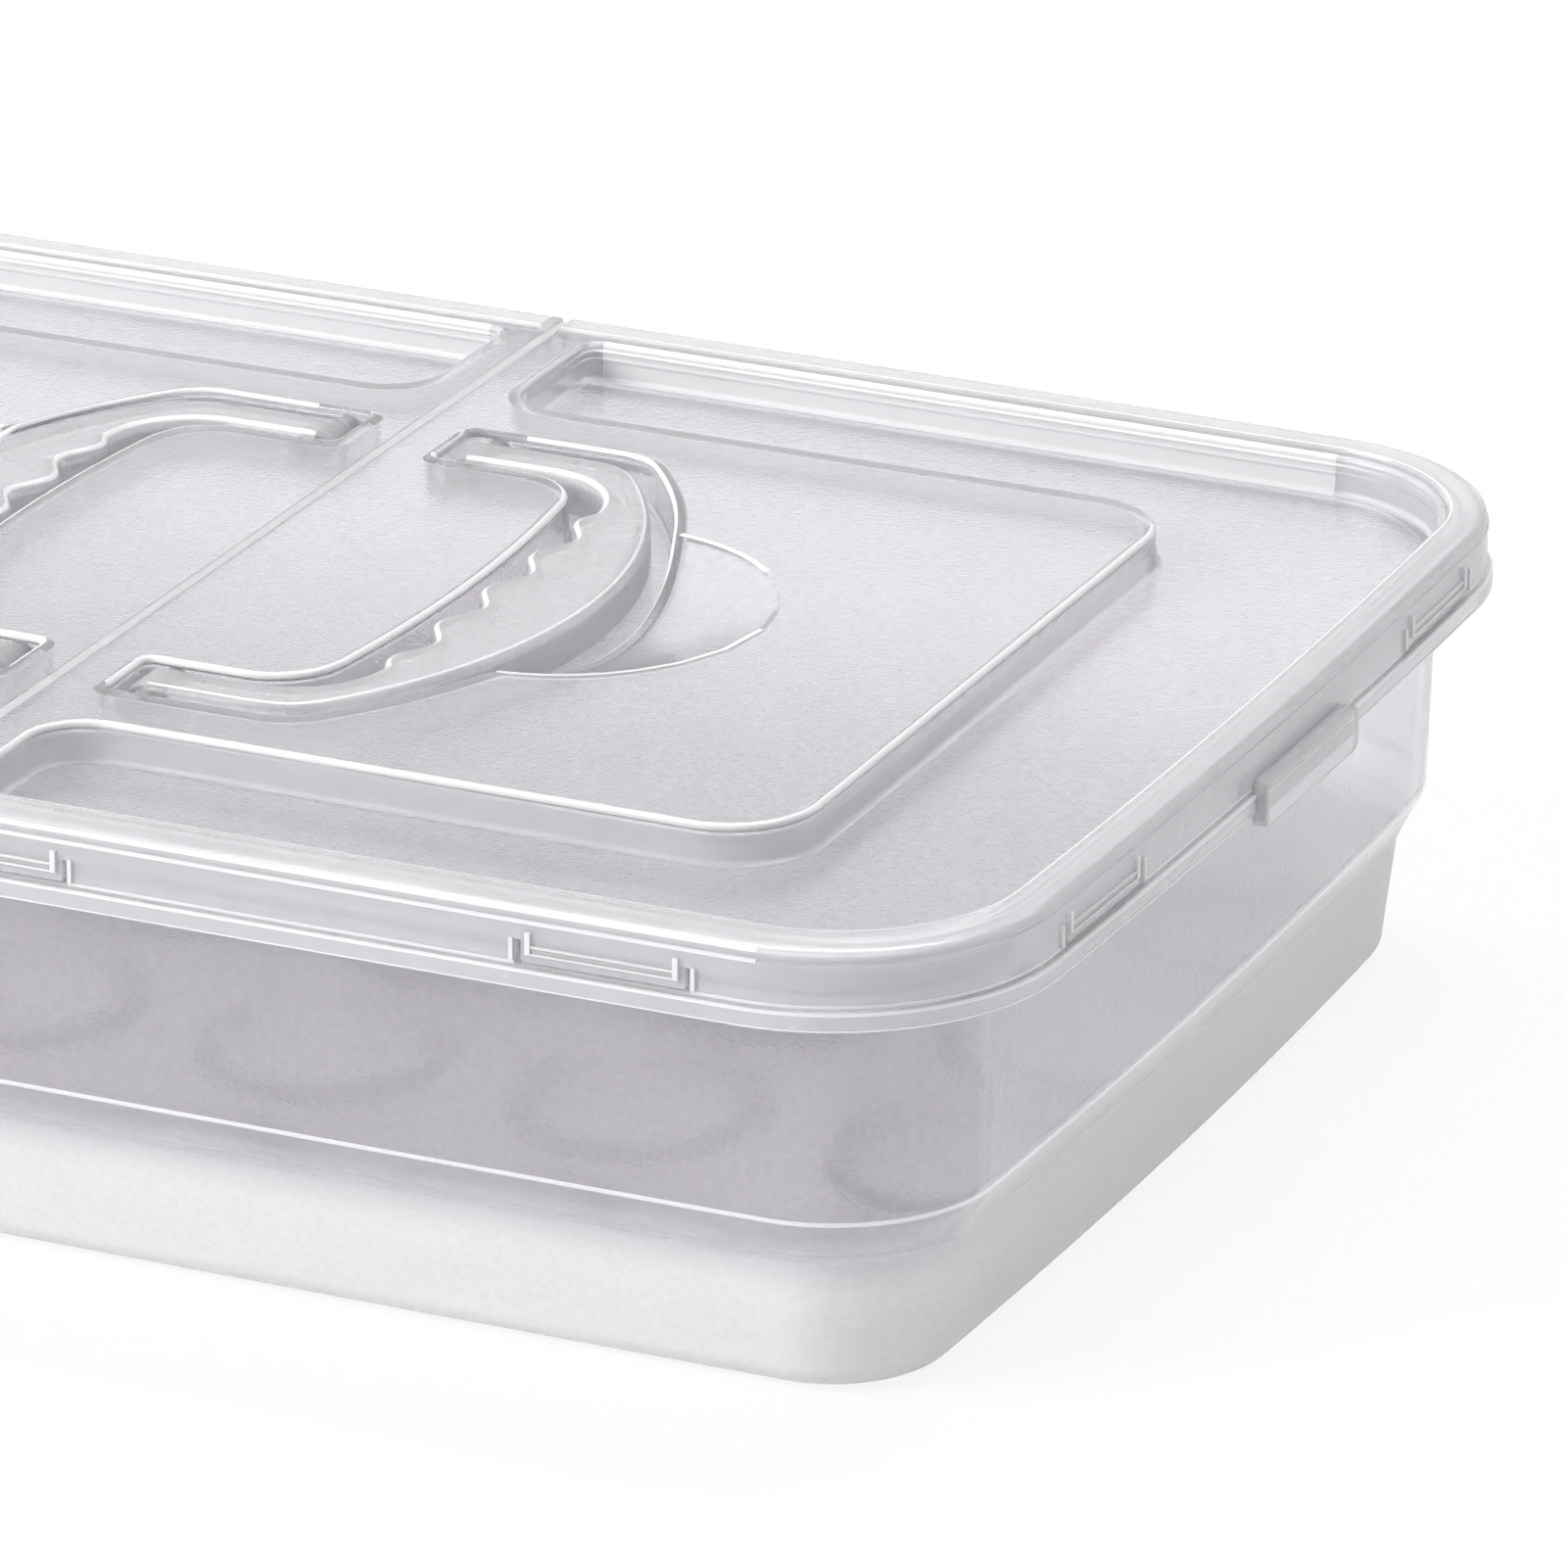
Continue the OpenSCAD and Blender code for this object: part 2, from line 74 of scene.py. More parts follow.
# Further sizes of the skins, in millimetres, and counts of steps.
SLIT_HALF = 0.5
GRID_STEP = 6.0
CORNER_STEPS = 18
SKIN_GAP = 0.02
HINGE_START = 0.3
SMALLEST_CORNER_R = 4
CHANNEL_IN, CHANNEL_START, CHANNEL_CORNER_R = 1.2, 4, 2.5
CHANNEL_DRAFT, RECESS_DRAFT, RECESS_END_R = 0.3, 0.25, 1.6
POCKET_STEPS = 5
SCOOP_EDGE = 0.9
TAB_ABOVE_LIP, TAB_SINK = 1.8, 0.9
TRAY_EDGE, TRAY_LOW, TRAY_TOP = 19.4, 2.5, 4.1


# Mesh tools
class Shell:
    """Gathers vertices in millimetres and faces from rows, grids and flat fills."""

    def __init__(self):
        self.verts = []
        self.faces = []
        self.kinds = {}

    def row(self, points):
        """Adds vertices and returns their numbers."""
        start = len(self.verts)
        self.verts.extend([tuple(map(float, p)) for p in points])
        return list(range(start, len(self.verts)))

    def face(self, ids, kind=0):
        """Adds a face. kind is 0 for the main plastic, 1 for the second one and 2 for the painted highlight
        material.
        """
        if kind:
            self.kinds[len(self.faces)] = kind
        self.faces.append(tuple(ids))

    def strip(self, a, b, closed=False, skip=(), kind=0, columns=()):
        """Joins two rows with faces, leaves out those in skip and gives those in columns the painted
        highlight material.
        """
        n = len(a)
        for i in range(n if closed else n - 1):
            if i not in skip:
                j = (i + 1) % n
                self.face((a[i], a[j], b[j], b[i]), 2 if i in columns else kind)

    def fill(self, loops, axes=(0, 1), kind=0):
        """Fills the flat region inside the first loop and outside the others."""
        ids = [i for loop in loops for i in loop]
        flat = [Vector((self.verts[i][axes[0]], self.verts[i][axes[1]])) for i in ids]
        edges, start = [], 0
        for loop in loops:
            n = len(loop)
            edges += [(start + k, start + (k + 1) % n) for k in range(n)]
            start += n
        out = delaunay_2d_cdt(flat, edges, [], 0, 1e-6)
        names = [ids[o[0]] for o in out[3]]
        ends = np.array([[(*flat[a], *flat[b])] for a, b in edges]).reshape(-1, 4)
        x0, y0, x1, y1 = ends.T
        rise = np.where(y1 == y0, 1.0, y1 - y0)
        for face in out[2]:
            cx, cy = np.mean([flat[out[3][k][0]] for k in face], axis=0)
            crossed = ((y0 > cy) != (y1 > cy)) & (x0 + (x1 - x0) * (cy - y0) / rise > cx)
            if np.count_nonzero(crossed) % 2:
                self.face([names[k] for k in face], kind)

    def add(self, verts, faces, kind=0):
        """Adds a ready mesh."""
        start = len(self.verts)
        self.verts.extend([tuple(map(float, p)) for p in verts])
        for f in faces:
            self.face([start + i for i in f], kind)

    def mirrored(self):
        """The same shell on the other side of the hinge line."""
        twin = Shell()
        twin.verts = [(-x, y, z) for x, y, z in self.verts]
        twin.faces = [tuple(reversed(f)) for f in self.faces]
        twin.kinds = dict(self.kinds)
        return twin

    def build(self, name, materials, body, replaces, slot, sharp=38.0):
        """Makes the object, lets it ride on its body and puts it in the place of its CAD node."""
        mesh = bpy.data.meshes.new(name)
        mesh.from_pydata([(x / 1000, y / 1000, z / 1000) for x, y, z in self.verts], [], self.faces)
        for material in materials:
            mesh.materials.append(material)
        mesh.polygons.foreach_set("material_index", [self.kinds.get(i, 0) for i in range(len(self.faces))])
        bm = bmesh.new()
        bm.from_mesh(mesh)
        bmesh.ops.remove_doubles(bm, verts=bm.verts, dist=1e-7)
        bmesh.ops.recalc_face_normals(bm, faces=bm.faces)
        bm.to_mesh(mesh)
        bm.free()
        mesh.shade_smooth()
        mesh.set_sharp_from_angle(angle=math.radians(sharp))
        obj = bpy.data.objects.new(name, mesh)
        bpy.context.scene.collection.objects.link(obj)
        weighted = obj.modifiers.new("weighted_normals", "WEIGHTED_NORMAL")
        weighted.keep_sharp = True
        weighted.mode = "FACE_AREA"
        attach(obj, body)
        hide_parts(replaces)


def arc(cx, cy, r, start, end, steps):
    """Points on an arc, angles in degrees, both ends included."""
    return [(cx + r * math.cos(math.radians(start + (end - start) * i / steps)),
             cy + r * math.sin(math.radians(start + (end - start) * i / steps))) for i in range(steps + 1)]


def line(x0, y0, x1, y1, steps):
    """Points strictly between two ends."""
    return [(x0 + (x1 - x0) * i / steps, y0 + (y1 - y0) * i / steps) for i in range(1, steps)]


def offset(points, distance):
    """A closed loop moved outwards, to its right-hand side when it runs counter-clockwise."""
    p = np.array(points)
    ahead = np.roll(p, -1, 0) - p
    ahead /= np.linalg.norm(ahead, axis=1)[:, None]
    behind = np.roll(ahead, 1, 0)
    normal = np.stack([ahead[:, 1] + behind[:, 1], -ahead[:, 0] - behind[:, 0]], 1)
    length = np.linalg.norm(normal, axis=1)
    normal /= length[:, None]
    stretch = np.minimum(2 / np.maximum(length, 1e-6), 1.4)
    return p + normal * stretch[:, None] * np.reshape(distance, (-1, 1))


# The keeper's outline
def spaced(marks, gap):
    """The marks with steps of about the given gap put in between."""
    out = [marks[0]]
    for a, b in zip(marks, marks[1:]):
        n = max(1, round((b - a) / gap))
        out += [a + (b - a) * k / n for k in range(1, n + 1)]
    return out


half_clip = CLIP_W / 2
SIDE_CX = LENGTH / 2 - CORNER_R
END_CY = WIDTH / 2 - CORNER_R
STRETCH = 1 / (1 - END_BOW / SIDE_CX)
side_marks = [0.0]
for middle in CLIP_XS:
    side_marks += [(middle + end + way) * STRETCH
                   for end in (-half_clip, half_clip) for way in (-SLIT_HALF, SLIT_HALF)]
side_marks += [SIDE_CX]
SIDE_S = spaced(side_marks, GRID_STEP)
end_half = [CLIP_Y - half_clip - SLIT_HALF, CLIP_Y - half_clip + SLIT_HALF,
            CLIP_Y + half_clip - SLIT_HALF, CLIP_Y + half_clip + SLIT_HALF, END_CY]
END_S = spaced(sorted([-y for y in end_half] + end_half), GRID_STEP)


def hinge_edge(z):
    """How far the lid's half starts from the hinge line at height z."""
    dz = z - HINGE_Z
    round_bead = math.sqrt(max(0.0, (BEAD_R + BEAD_GAP + SKIN_GAP) ** 2 - dz * dz))
    return max(HINGE_START, round_bead, HINGE_START + dz)


def half_outline(end_in, side_in, start=0.0):
    """The right half of the outline, from the hinge line along the front, the end and the back."""
    hx, hy = LENGTH / 2 - end_in, WIDTH / 2 - side_in
    r = max(CORNER_R - (end_in + side_in) / 2, SMALLEST_CORNER_R)
    cx, cy = hx - r, hy - r
    side = [(start + (cx - start) * s / SIDE_CX if s == 0 else cx * s / SIDE_CX, -hy) for s in SIDE_S]
    raw = side + arc(cx, -cy, r, -90, 0, CORNER_STEPS)[1:]
    raw += [(hx, cy * y / END_CY) for y in END_S[1:-1]]
    raw += arc(cx, cy, r, 0, 90, CORNER_STEPS) + [(x, -y) for x, y in reversed(side)][1:]
    out = []
    for x, y in raw:
        bow = END_BOW * (y / hy) ** 2 * min(1.0, x / cx if x > start else 0.0)
        out.append((x - bow, y - math.copysign(SIDE_BOW * (x / hx) ** 2, y)))
    return out


def full_outline(end_in, side_in=None):
    """The whole outline, counter-clockwise."""
    right = half_outline(end_in, end_in if side_in is None else side_in)
    left = [(-x, y) for x, y in reversed(right)]
    return right + left[1:-1]


def at_height(points, z):
    """Flat points lifted to a height."""
    return [(x, y, z) for x, y in points]


# The lid's two halves
def channel_loop():
    """The channel round the raised panel, counter-clockwise, and which points are on the rim's side."""
    outline = half_outline(RIM_END + CHANNEL_IN, RIM_SIDE + CHANNEL_IN)
    outer = [p for p in outline if p[0] > NECK_X + CHANNEL_START]
    corner = CHANNEL_CORNER_R
    y_rim = outer[0][1] + 0.01
    first = arc(NECK_X + corner, y_rim + corner, corner, 180, 270, 5)
    last = [(x, -y) for x, y in reversed(first)]
    inner_x, inner_y = PANEL_X - PANEL_R, PANEL_Y - PANEL_R
    front = (
        line(PANEL_X, 0, PANEL_X, -inner_y, 8)
        + arc(inner_x, -inner_y, PANEL_R, 0, -90, 14)
        + line(inner_x, -PANEL_Y, NECK_X + NECK_R, -PANEL_Y, 12)
        + arc(NECK_X + NECK_R, -(PANEL_Y + NECK_R), NECK_R, 90, 180, 10)
        + line(NECK_X, -(PANEL_Y + NECK_R), NECK_X, first[0][1], 4)
    )
    back = [(x, -y) for x, y in reversed(front)]
    loop = first + outer + last + back + [(PANEL_X, 0)] + front
    rim_side = len(first) + len(outer) + len(last)
    weights = [1.0 if i < rim_side else 0.0 for i in range(len(loop))]
    return loop, np.array(weights)


def dee(middle, radius, half, corner, start, arm_steps, bow_steps):
    """From the hinge side along the front, round a bowed edge and back along the back.

    middle and radius are the bowed edge's, half is the half width and start is where the arms begin.
    """
    far = math.sqrt((radius - corner) ** 2 - (half - corner) ** 2)
    turn = math.degrees(math.asin((half - corner) / (radius - corner)))
    fx, fy = middle + far, half - corner
    return (
        line(start, -half, fx, -half, arm_steps)
        + arc(fx, -fy, corner, -90, -turn, 9)
        + arc(middle, 0, radius, -turn, turn, bow_steps)[1:-1]
        + arc(fx, fy, corner, turn, 90, 9)
        + line(fx, half, start, half, arm_steps)
    )


def recess_loop():
    """The recess of the handle, counter-clockwise, and how many of its points are on the outer side."""
    small = RECESS_END_R
    start, half = RECESS_IN + small, HANDLE_Y + RECESS_GAP
    end_low = arc(start, -half + small, small, 180, 270, 5)
    outer = end_low + dee(HANDLE_CX, HANDLE_R + RECESS_GAP, half, RECESS_R, start, 6, 44)
    outer += [(x, -y) for x, y in reversed(end_low)]
    end_high = arc(start, ISLAND_Y + small, small, 180, 270, 5)
    inner = dee(ISLAND_X - ISLAND_BOW_R, ISLAND_BOW_R, ISLAND_Y, ISLAND_R, start, 4, 24)
    inner = end_high + inner[::-1] + [(x, -y) for x, y in reversed(end_high)]
    return outer + inner, len(outer)


def pocket_rows(top, floor, r_top, r_floor, draft):
    """Offsets and heights of a pocket's wall, from the rounded top edge to the rounded floor."""
    rows = []
    for k in range(POCKET_STEPS + 1):
        a = math.pi / 2 * k / POCKET_STEPS
        rows.append((r_top * (1 - math.sin(a)), top - r_top * (1 - math.cos(a))))
    for k in range(POCKET_STEPS + 1):
        a = math.pi / 2 * k / POCKET_STEPS
        rows.append((-draft - r_floor * (1 - math.cos(a)), floor + r_floor * (1 - math.sin(a))))
    return rows


class Side:
    """One face of the lid's sheet: its plane, its pockets and the ball of the scoop."""

    def __init__(self, plane, shift, channel, recess, r_top, r_floor, ball):
        self.plane, self.shift, self.channel, self.recess = plane, shift, channel, recess
        self.r_top, self.r_floor, self.ball = r_top, r_floor, ball


SCOOP_DEPTH = PANEL_Z - RECESS_Z
SCOOP_BALL = (SCOOP_R ** 2 + SCOOP_DEPTH ** 2) / (2 * SCOOP_DEPTH)
BALL_Z = RECESS_Z + SCOOP_BALL
TOP = Side(PANEL_Z, 0.0, CHANNEL_Z, RECESS_Z, 0.85, 0.9, SCOOP_BALL)
UNDER = Side(PANEL_Z - SHEET, SHEET, CHANNEL_Z - SHEET, RECESS_Z - SHEET, 0.4, 1.6, SCOOP_BALL + SHEET)
RIB_OUT = 0.28
RIBS = [
    (0.0, 71.9), (RIB_OUT, 71.75), (RIB_OUT, 71.4), (0.0, 71.25),
    (0.0, 70.6), (RIB_OUT, 70.45), (RIB_OUT, 70.1), (0.0, 69.95)
]


def add_channel(shell, side):
    """Walls and floor of the channel, with two fine ribs on the rim's side of the top.

    Returns the loop on the plane.
    """
    loop, rim = channel_loop()
    loop = offset(loop, side.shift)
    rows = [(np.full(len(loop), d), z) for d, z in
            pocket_rows(side.plane, side.channel, side.r_top, side.r_floor, CHANNEL_DRAFT)]
    if side is TOP:
        below_edge = POCKET_STEPS + 1
        rows[below_edge:below_edge] = [(-d * rim, z) for d, z in RIBS]
    xs, ys = loop[:, 0], loop[:, 1]
    # Painted highlight on the channel: along the straight front and back the rim-side walls, and on the
    # panel's side the top edge where it faces the front or the right end, take the highlight material in
    # place of the light caught there.
    straight = (rim > 0) & (np.abs(ys) > 100) & (xs < SIDE_CX) & (xs > NECK_X + 3)
    painted_highlit = set(np.nonzero(straight)[0])
    painted_facing = set(np.nonzero((rim == 0) & ((ys < -PANEL_Y / 2) | (xs > PANEL_X - 2)))[0])
    ids = [shell.row(at_height(offset(loop, d), z)) for d, z in rows]
    for k, (a, b) in enumerate(zip(ids, ids[1:])):
        top_edge = painted_facing if k < POCKET_STEPS else set()
        shell.strip(a, b, closed=True, kind=1, columns=painted_highlit | top_edge if side is TOP else ())
    shell.fill([ids[-1]])
    return ids[0]


def add_recess(shell, side):
    """Walls and floor of the handle's recess with the scoop. Returns the loop on the plane."""
    loop, n_outer = recess_loop()
    loop = offset(loop, side.shift)
    n = len(loop)
    island = set(range(n_outer, n))
    painted_far_edge = {i for i in range(n_outer) if loop[i][1] > -20 and loop[i][0] > HANDLE_X - 40}
    circle = math.sqrt(side.ball ** 2 - (BALL_Z - side.plane) ** 2)
    reach = np.hypot(loop[:, 0] - SCOOP_X, loop[:, 1])
    in_scoop = [i for i in range(n) if reach[i] < circle - 0.6 and loop[i][0] > SCOOP_X + 1]
    depth = side.plane - side.recess
    sphere = np.full(n, side.plane)
    for i in in_scoop:
        sphere[i] = min(side.plane, BALL_Z - math.sqrt(side.ball ** 2 - reach[i] ** 2))
    share = np.clip((sphere - side.recess) / depth, 0.09, 1.0)
    ids = []
    for d, z in pocket_rows(side.plane, side.recess, side.r_top, side.r_floor, RECESS_DRAFT):
        width = np.where(share < 1, d * np.minimum(1, 0.35 + share), d)
        height = side.recess + (z - side.recess) * share
        moved = offset(loop, width)
        ids.append(shell.row([(x, y, h) for (x, y), h in zip(moved, height)]))
    for k, (a, b) in enumerate(zip(ids, ids[1:])):
        # Painted highlight: the island's top edge and part of the far side's wall take the highlight
        # material.
        painted_highlit = (island if k < POCKET_STEPS else set()) | (painted_far_edge if 0 < k < POCKET_STEPS - 1 else set())
        shell.strip(a, b, closed=True, columns=painted_highlit if side is TOP else ())
    shell.fill([ids[-1]])
    # The scoop: from the recess's edge out to a circle on the plane, over a ball.
    edge = ids[0]
    first, last = in_scoop[0], in_scoop[-1]
    base = np.array([shell.verts[edge[i]] for i in in_scoop])
    angle = np.arctan2(base[:, 1], base[:, 0] - SCOOP_X)
    rings = [[edge[i] for i in in_scoop]]
    inner_d = np.hypot(base[:, 0] - SCOOP_X, base[:, 1])
    for f in (0.2, 0.4, 0.6, 0.8, 1.0):
        d = inner_d + (circle - SCOOP_EDGE - inner_d) * f
        d = np.maximum(d, inner_d + 0.02 * f)
        z = BALL_Z - np.sqrt(side.ball ** 2 - d ** 2)
        z = np.maximum(z, base[:, 2] + 0.0005)
        rings.append(shell.row([(SCOOP_X + q * math.cos(a), q * math.sin(a), min(h, side.plane))
                                for q, a, h in zip(d, angle, z)]))
    for k, (grow, drop) in enumerate([(-0.45, 0.09), (0.0, 0.02), (0.5, 0.0)]):
        d = np.maximum(circle + grow, inner_d + 0.02 * (k + 2))
        rings.append(shell.row([(SCOOP_X + q * math.cos(a), q * math.sin(a), side.plane - drop)
                                for q, a in zip(d, angle)]))
    # Painted highlight round the scoop's outer rim, except over a short arc.
    painted_scoop_rim = {i for i in range(len(angle) - 1) if not -0.2 < angle[i] < 0.7}
    for k, (a, b) in enumerate(zip(rings, rings[1:])):
        shell.strip(a, b, columns=painted_scoop_rim if side is TOP and k > 5 else ())
    outer = rings[-1]
    before, after = edge[first - 1], edge[last + 1]
    for chain, corner in (([r[0] for r in rings], before), ([r[-1] for r in rings], after)):
        for a, b in zip(chain, chain[1:]):
            shell.face((a, b, corner))
    return edge[:first] + outer + edge[last + 1:]


def rim_rows():
    """Rows of the rim's outside and inside, each with its inset at the end and the side and its height.

    The rows up to the slits' tops have the same heights outside and inside.
    """
    e, s = RIM_END, RIM_SIDE
    z = SKIRT_Z
    lip = z + LIP_H
    outside = [
        (0.35, z), (0.1, z + 0.12), (0.0, z + 0.4), (0.0, lip - 0.5), (0.14, lip - 0.2),
        (0.45, lip - 0.08), (0.9, lip - 0.05), (1.2, lip + 0.1), (0.95, lip + 0.25),
        (0.87, lip + 0.8), (0.9, lip + 4.1), (0.95, 70.9), (0.74, 71.1), (0.74, 71.4), (0.96, 71.6),
        (1.0, 72.1), (1.05, 72.55), (1.2, 72.9), (1.5, 73.15), (1.95, 73.32), (2.6, 73.55), (3.3, 73.8),
        (4.0, 73.95), (4.8, HEIGHT)
    ]
    outside = [(d, d, h) for d, h in outside]
    outside += [(e - 0.6, s - 0.6, HEIGHT), (e - 0.3, s - 0.3, 73.93), (e - 0.08, s - 0.08, 73.65),
                (e + 0.02, s + 0.02, 73.3), (e + 0.06, s + 0.06, 73.0)]
    inside = [(2.5 + (h - z) * 0.02, h) for d, side, h in outside[:11]]
    inside += [(2.62, 71.4), (2.78, 71.9), (3.2, 72.15), (3.7, 72.2)]
    inside = [(d, d, h) for d, h in inside]
    inside += [(e - 2.2, s - 2.2, 72.2), (e - 1.9, s - 1.9, 72.0), (e - 1.75, s - 1.75, 71.6),
               (e - 1.7, s - 1.7, PANEL_Z - SHEET)]
    return outside, inside


# Rows of the rim's outside that carry a painted highlight all the way round, and those that carry it only
# along the straight parts, up to a reach from the hinge line.
HIGHLIGHT_PAINT_ROWS = (0, 1, 3, 4, 8, 24)
HIGHLIGHT_PAINT_STRAIGHT_ROWS = (11, 12, 13, 16, 17)
HIGHLIGHT_PAINT_REACH = 136.0
SLOT_ROW = 8
SLIT_ROWS = (8, 10)


def nearest(marks, value):
    """Number of the mark that lies nearest to the value."""
    return min(range(len(marks)), key=lambda i: abs(marks[i] - value))


def clip_cells():
    """Cells of the skirt's grid that the clips leave open, as {row: set of columns}."""
    cells = {row: set() for row in range(SLIT_ROWS[0], SLIT_ROWS[1])}
    n_side, n_all = len(SIDE_S), len(half_outline(0, 0))
    side_cols = []
    for middle in CLIP_XS:
        lo = nearest(SIDE_S, (middle - half_clip - SLIT_HALF) * STRETCH)
        hi = nearest(SIDE_S, (middle + half_clip + SLIT_HALF) * STRETCH)
        side_cols += [(lo, hi - 1), (n_all - 1 - hi, n_all - 2 - lo)]
    base = n_side - 1 + CORNER_STEPS
    for middle in (-CLIP_Y, CLIP_Y):
        lo = nearest(END_S, middle - half_clip - SLIT_HALF)
        hi = nearest(END_S, middle + half_clip + SLIT_HALF)
        side_cols.append((base + lo, base + hi - 1))
    for lo, hi in side_cols:
        cells[SLOT_ROW] |= set(range(lo, hi + 1))
        for row in range(*SLIT_ROWS):
            cells[row] |= {lo, hi}
    return cells


def flap_shell():
    """The right half of the lid as one closed skin."""
    shell = Shell()
    outside, inside = rim_rows()
    grid_out = [shell.row(at_height(half_outline(e, s, hinge_edge(z)), z)) for e, s, z in outside]
    grid_in = [shell.row(at_height(half_outline(e, s, hinge_edge(z)), z)) for e, s, z in inside]
    cells = clip_cells()
    straight = {i for i, (x, y) in enumerate(half_outline(0, 0)) if x < HIGHLIGHT_PAINT_REACH}
    for grid in (grid_out, grid_in):
        for row, (a, b) in enumerate(zip(grid, grid[1:])):
            # Painted highlight lines on the rim's outside: the rows listed above take the highlight
            # material, the rest the milky rim plastic.
            painted_highlit = grid is grid_out and row in HIGHLIGHT_PAINT_ROWS
            painted_columns = ()
            if grid is grid_out and row in HIGHLIGHT_PAINT_STRAIGHT_ROWS:
                painted_columns = straight
            shell.strip(a, b, skip=cells.get(row, ()), kind=2 if painted_highlit else 1, columns=painted_columns)
    # Painted highlight along the skirt's bottom edge.
    shell.strip(grid_out[0], grid_in[0], kind=2)
    # The walls round the clips' slots and slits are painted with the highlight material.
    for row, columns in cells.items():
        for col in columns:
            corners = [(row, col), (row, col + 1), (row + 1, col + 1), (row + 1, col)]
            beside = [(row - 1, col), (row, col + 1), (row + 1, col), (row, col - 1)]
            for k in range(4):
                r, c = beside[k]
                if c not in cells.get(r, ()):
                    (r0, c0), (r1, c1) = corners[k], corners[(k + 1) % 4]
                    wall = (grid_out[r0][c0], grid_out[r1][c1], grid_in[r1][c1], grid_in[r0][c0])
                    shell.face(wall, 2)
    # The hinge side, front to back: a small flat face at each rim and a hollowed strip between them.
    strip_zs = [PANEL_Z, 72.75, HINGE_Z, 72.2, 71.9, 71.6, PANEL_Z - SHEET]
    ys = np.linspace(-1, 1, 31)[1:-1]
    plane_top, plane_low = grid_out[-1], grid_in[-1]
    columns = []
    for end in (0, -1):
        top, low = shell.verts[plane_top[end]], shell.verts[plane_low[end]]
        middle = []
        for z in strip_zs[1:-1]:
            t = (PANEL_Z - z) / SHEET
            middle.append((hinge_edge(z), top[1] + (low[1] - top[1]) * t, z))
        columns.append([plane_top[end]] + shell.row(middle) + [plane_low[end]])
        up = [row[end] for row in grid_out[:-1]]
        down = [row[end] for row in reversed(grid_in[:-1])]
        # Painted highlight: the small flat faces at each rim take the highlight material.
        shell.fill([up + columns[-1] + down], axes=(1, 2), kind=2)
    y0, y1 = shell.verts[plane_top[0]][1], shell.verts[plane_top[-1]][1]
    between = []
    for y in ys:
        yy = y * (y1 - y0) / 2 + (y0 + y1) / 2
        between.append(shell.row([(hinge_edge(z), yy, z) for z in strip_zs]))
    chain = [columns[0]] + between + [columns[1]]
    for a, b in zip(chain, chain[1:]):
        shell.strip(a, b, kind=1)
    top_edge = [c[0] for c in reversed(between)]
    low_edge = [c[-1] for c in reversed(between)]
    shell.fill([plane_top + top_edge, add_channel(shell, TOP), add_recess(shell, TOP)])
    shell.fill([plane_low + low_edge, add_channel(shell, UNDER), add_recess(shell, UNDER)])
    return shell


# Small solids
def rod(shell, x, z, y0, y1, r, bevel=0.3, sides=28):
    """A rod along Y with eased ends."""
    rows = []
    for y, q in ((y0, r - bevel), (y0 + bevel, r), (y1 - bevel, r), (y1, r - bevel)):
        rows.append(shell.row([(x + q * math.cos(2 * math.pi * k / sides), y,
                                z + q * math.sin(2 * math.pi * k / sides)) for k in range(sides)]))
    for a, b in zip(rows, rows[1:]):
        shell.strip(a, b, closed=True)
    shell.face(rows[0])
    shell.face(rows[-1][::-1])


def pull_tab(shell):
    """The tab that hangs below the skirt in the middle of the short end."""
    h, w = TAB_DROP + LIP_H + TAB_ABOVE_LIP, TAB_W / 2 - TAB_R
    low, high = SKIRT_Z - TAB_DROP + TAB_R, SKIRT_Z - TAB_DROP + h - TAB_R
    loop = arc(TAB_Y + w, low, TAB_R, -90, 0, 6) + arc(TAB_Y + w, high, TAB_R, 0, 90, 6)
    loop += line(TAB_Y + w, high + TAB_R, TAB_Y - w, high + TAB_R, 8)
    loop += arc(TAB_Y - w, high, TAB_R, 90, 180, 6) + arc(TAB_Y - w, low, TAB_R, 180, 270, 6)
    loop += line(TAB_Y - w, low - TAB_R, TAB_Y + w, low - TAB_R, 8)
    x0, x1 = LENGTH / 2 - TAB_SINK, LENGTH / 2 + TAB_OUT
    rows = []
    for x, d in ((x0, -0.3), (x0 + 0.2, 0), (x1 - 0.5, 0), (x1 - 0.15, -0.15), (x1, -0.5)):
        rows.append(shell.row([(x, y, zz) for y, zz in offset(loop, d)]))
    for a, b in zip(rows, rows[1:]):
        shell.strip(a, b, closed=True)
    shell.fill([rows[0]], axes=(1, 2))
    shell.fill([rows[-1]], axes=(1, 2))


def on_side(sign):
    """Places a point on a long side: along it, inset from the outline and up."""
    def place(s, inset, z):
        hx, hy = LENGTH / 2 - inset, WIDTH / 2 - inset
        return s, sign * (hy - SIDE_BOW * (s / hx) ** 2), z
    return place


def on_end(s, inset, z):
    """Places a point on the short end."""
    hx, hy = LENGTH / 2 - inset, WIDTH / 2 - inset
    return hx - END_BOW * (s / hy) ** 2, s, z


def bar(shell, place, s0, s1, z0, z1, out, kind=2):
    """A fine raised bar on the skirt, from s0 to s1 along it, painted with the highlight material unless
    kind says otherwise. out is its inset from the outline.
    """
    deep, ease = 1.3, 0.1
    steps = max(2, round((s1 - s0) / 3))
    rows = []
    for k in range(steps + 1):
        s = s0 + (s1 - s0) * k / steps
        section = (
            (deep, z0), (out + ease, z0), (out, z0 + 0.12),
            (out, z1 - 0.12), (out + ease, z1), (deep, z1)
        )
        rows.append(shell.row([place(s, inset, z) for inset, z in section]))
    for a, b in zip(rows, rows[1:]):
        shell.strip(a, b, closed=True, kind=kind)
    shell.face(rows[0], kind)
    shell.face(rows[-1][::-1], kind)


CLIP_RIB_ZS = (66.5, 66.85, 67.6, 67.95)
TURN_UP_Z = 69.9
SLIT_HIGHLIGHT_ZS = (65.3, 68.8)


